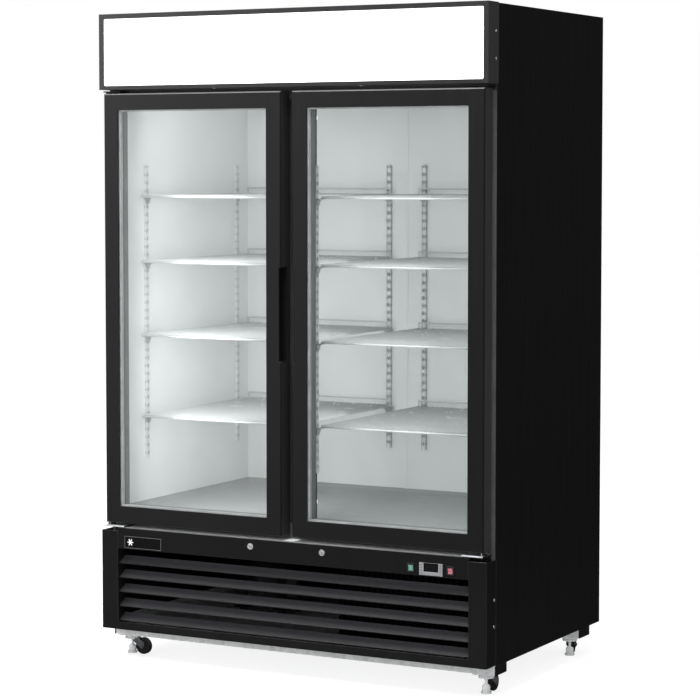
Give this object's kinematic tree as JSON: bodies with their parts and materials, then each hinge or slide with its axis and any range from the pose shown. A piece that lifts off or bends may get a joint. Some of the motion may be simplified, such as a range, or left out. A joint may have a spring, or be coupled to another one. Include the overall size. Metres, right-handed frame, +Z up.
{
  "type": "glass door merchandiser",
  "caption": "Upright refrigerated display cabinet with hinged glass doors, wire shelves, a lit sign box, a louvred base and levelling casters.",
  "frame": {"origin": "at floor level below the middle of the cabinet's box", "axes": "+X to the right along the front, +Y from the doors to the back, +Z up"},
  "size_m": [1.3236, 0.851, 1.994],
  "materials": {
    "black_steel": "smooth satin black powder coat",
    "white_liner": "smooth white pre-painted sheet",
    "foam": "rigid cream polyurethane foam",
    "black_plastic": "fine matte black extrusion",
    "galvanised": "galvanised sheet with faint spangle",
    "end_cap": "moulded black plastic",
    "sign_black": "satin black powder coat",
    "sign_white": "translucent white acrylic sheet, lit from behind",
    "led": "frosted white lamp tube",
    "zinc": "bright zinc plating",
    "fascia_black": "satin black powder coat",
    "louvre_grey": "satin charcoal powder coat",
    "badge": "gloss black plate with a thin silver border",
    "controller_grey": "silver grey moulded bezel",
    "green_lens": "translucent green rocker",
    "red_lens": "translucent red rocker",
    "door_black": "satin black coated extrusion",
    "glass": "clear low-iron insulating glass",
    "spacer": "satin aluminium spacer bar",
    "gasket": "soft dark magnetic gasket",
    "grip_black": "moulded matte black grip cup",
    "white_wire": "white epoxy coated wire",
    "evap_white": "smooth white coated sheet",
    "coil": "thin aluminium fins",
    "fan_plastic": "moulded dark fan blades",
    "compressor_black": "gloss black enamel",
    "motor_dark": "dark coated sheet",
    "grille_black": "satin black powder coat",
    "fork_zinc": "bright zinc plated pressing",
    "wheel_black": "hard black moulded tread and hub",
    "foot_zinc": "plated steel foot"
  },
  "bodies": {
    "cabinet": {"outer_cabinet": "black_steel", "inner_liner": "white_liner", "foam_insulation": "foam", "face_frame": "black_plastic", "centre_mullion": "black_plastic", "base_frame": "galvanised", "channel_end_caps": "end_cap", "sign_frame": "sign_black", "sign_panel": "sign_white", "led_tubes": "led", "panel_screws": "zinc", "control_fascia": "fascia_black", "ledge_plate": "galvanised", "louvre_panel": "louvre_grey", "badge_plate": "badge", "lock_housings": "zinc", "controller": "controller_grey", "rocker_housings": "black_plastic", "hinge_brackets": "zinc", "shelf_standards": "zinc", "shelf_clips": "zinc", "shelves_left": "white_wire", "shelves_right": "white_wire", "evaporator_cover": "evap_white", "evaporator_coil": "coil", "compressor": "compressor_black", "condenser_coil": "coil", "fan_shroud": "motor_dark", "fan_motors": "motor_dark", "rear_grille": "grille_black", "power_inlet": "black_plastic", "caster_plates": "galvanised"},
    "door_left": {"door_frame_left": "door_black", "door_glass_left": "glass", "glass_spacer_left": "spacer", "door_gasket_left": "gasket", "grip_handle_left": "grip_black"},
    "door_right": {"door_frame_right": "door_black", "door_glass_right": "glass", "glass_spacer_right": "spacer", "door_gasket_right": "gasket", "grip_handle_right": "grip_black"},
    "lock_cylinder_left": {"lock_cylinder_left": "zinc"},
    "lock_cylinder_right": {"lock_cylinder_right": "zinc"},
    "rocker_green": {"rocker_green": "green_lens"},
    "rocker_red": {"rocker_red": "red_lens"},
    "evaporator_fan": {"evaporator_fan": "fan_plastic"},
    "condenser_fan": {"condenser_fan": "fan_plastic"},
    "swivel_fl": {"caster_fork_fl": "fork_zinc"},
    "wheel_fl": {"caster_wheel_fl": "wheel_black"},
    "foot_fl": {"levelling_foot_fl": "foot_zinc"},
    "swivel_fr": {"caster_fork_fr": "fork_zinc"},
    "wheel_fr": {"caster_wheel_fr": "wheel_black"},
    "foot_fr": {"levelling_foot_fr": "foot_zinc"},
    "swivel_rl": {"caster_fork_rl": "fork_zinc"},
    "wheel_rl": {"caster_wheel_rl": "wheel_black"},
    "foot_rl": {"levelling_foot_rl": "foot_zinc"},
    "swivel_rr": {"caster_fork_rr": "fork_zinc"},
    "wheel_rr": {"caster_wheel_rr": "wheel_black"},
    "foot_rr": {"levelling_foot_rr": "foot_zinc"}
  },
  "joints": [
    {"name": "door_left_hinge", "type": "hinge", "parent": "cabinet", "child": "door_left", "pos_m": [-0.638, -0.3975, 1.088], "axis": [0, 0, -1], "range_deg": [0, 110]},
    {"name": "door_right_hinge", "type": "hinge", "parent": "cabinet", "child": "door_right", "pos_m": [0.638, -0.3975, 1.088], "axis": [0, 0, 1], "range_deg": [0, 110]},
    {"name": "lock_left_turn", "type": "hinge", "parent": "cabinet", "child": "lock_cylinder_left", "pos_m": [-0.123, -0.4215, 0.388], "axis": [0, -1, 0], "range_deg": [0, 90]},
    {"name": "lock_right_turn", "type": "hinge", "parent": "cabinet", "child": "lock_cylinder_right", "pos_m": [0.123, -0.4215, 0.388], "axis": [0, -1, 0], "range_deg": [0, 90]},
    {"name": "rocker_green_tilt", "type": "hinge", "parent": "cabinet", "child": "rocker_green", "pos_m": [0.417, -0.4175, 0.3675], "axis": [1, 0, 0], "range_deg": [-18, 0]},
    {"name": "rocker_red_tilt", "type": "hinge", "parent": "cabinet", "child": "rocker_red", "pos_m": [0.5445, -0.4175, 0.3675], "axis": [1, 0, 0], "range_deg": [-18, 0]},
    {"name": "evaporator_fan_spin", "type": "hinge", "parent": "cabinet", "child": "evaporator_fan", "pos_m": [0, -0.0915, 1.77], "axis": [0, 0, 1], "continuous": true},
    {"name": "condenser_fan_spin", "type": "hinge", "parent": "cabinet", "child": "condenser_fan", "pos_m": [0.33, -0.1595, 0.25], "axis": [0, 1, 0], "continuous": true},
    {"name": "swivel_fl_turn", "type": "hinge", "parent": "cabinet", "child": "swivel_fl", "pos_m": [-0.614, -0.3235, 0.049], "axis": [0, 0, 1], "continuous": true},
    {"name": "wheel_fl_roll", "type": "hinge", "parent": "swivel_fl", "child": "wheel_fl", "pos_m": [-0.571, -0.3235, 0.026], "axis": [0, 1, 0], "continuous": true},
    {"name": "foot_fl_screw", "type": "slide", "parent": "cabinet", "child": "foot_fl", "axis": [0, 0, -1], "range_m": [0, 0.012]},
    {"name": "swivel_fr_turn", "type": "hinge", "parent": "cabinet", "child": "swivel_fr", "pos_m": [0.614, -0.3235, 0.049], "axis": [0, 0, 1], "continuous": true},
    {"name": "wheel_fr_roll", "type": "hinge", "parent": "swivel_fr", "child": "wheel_fr", "pos_m": [0.614, -0.2805, 0.026], "axis": [-1, 0, 0], "continuous": true},
    {"name": "foot_fr_screw", "type": "slide", "parent": "cabinet", "child": "foot_fr", "axis": [0, 0, -1], "range_m": [0, 0.012]},
    {"name": "swivel_rl_turn", "type": "hinge", "parent": "cabinet", "child": "swivel_rl", "pos_m": [-0.614, 0.2925, 0.049], "axis": [0, 0, 1], "continuous": true},
    {"name": "wheel_rl_roll", "type": "hinge", "parent": "swivel_rl", "child": "wheel_rl", "pos_m": [-0.60287, 0.33404, 0.026], "axis": [-0.9659, 0.2588, 0], "continuous": true},
    {"name": "foot_rl_screw", "type": "slide", "parent": "cabinet", "child": "foot_rl", "axis": [0, 0, -1], "range_m": [0, 0.012]},
    {"name": "swivel_rr_turn", "type": "hinge", "parent": "cabinet", "child": "swivel_rr", "pos_m": [0.614, 0.2925, 0.049], "axis": [0, 0, 1], "continuous": true},
    {"name": "wheel_rr_roll", "type": "hinge", "parent": "swivel_rr", "child": "wheel_rr", "pos_m": [0.60287, 0.33404, 0.026], "axis": [-0.9659, -0.2588, 0], "continuous": true},
    {"name": "foot_rr_screw", "type": "slide", "parent": "cabinet", "child": "foot_rr", "axis": [0, 0, -1], "range_m": [0, 0.012]}
  ]
}
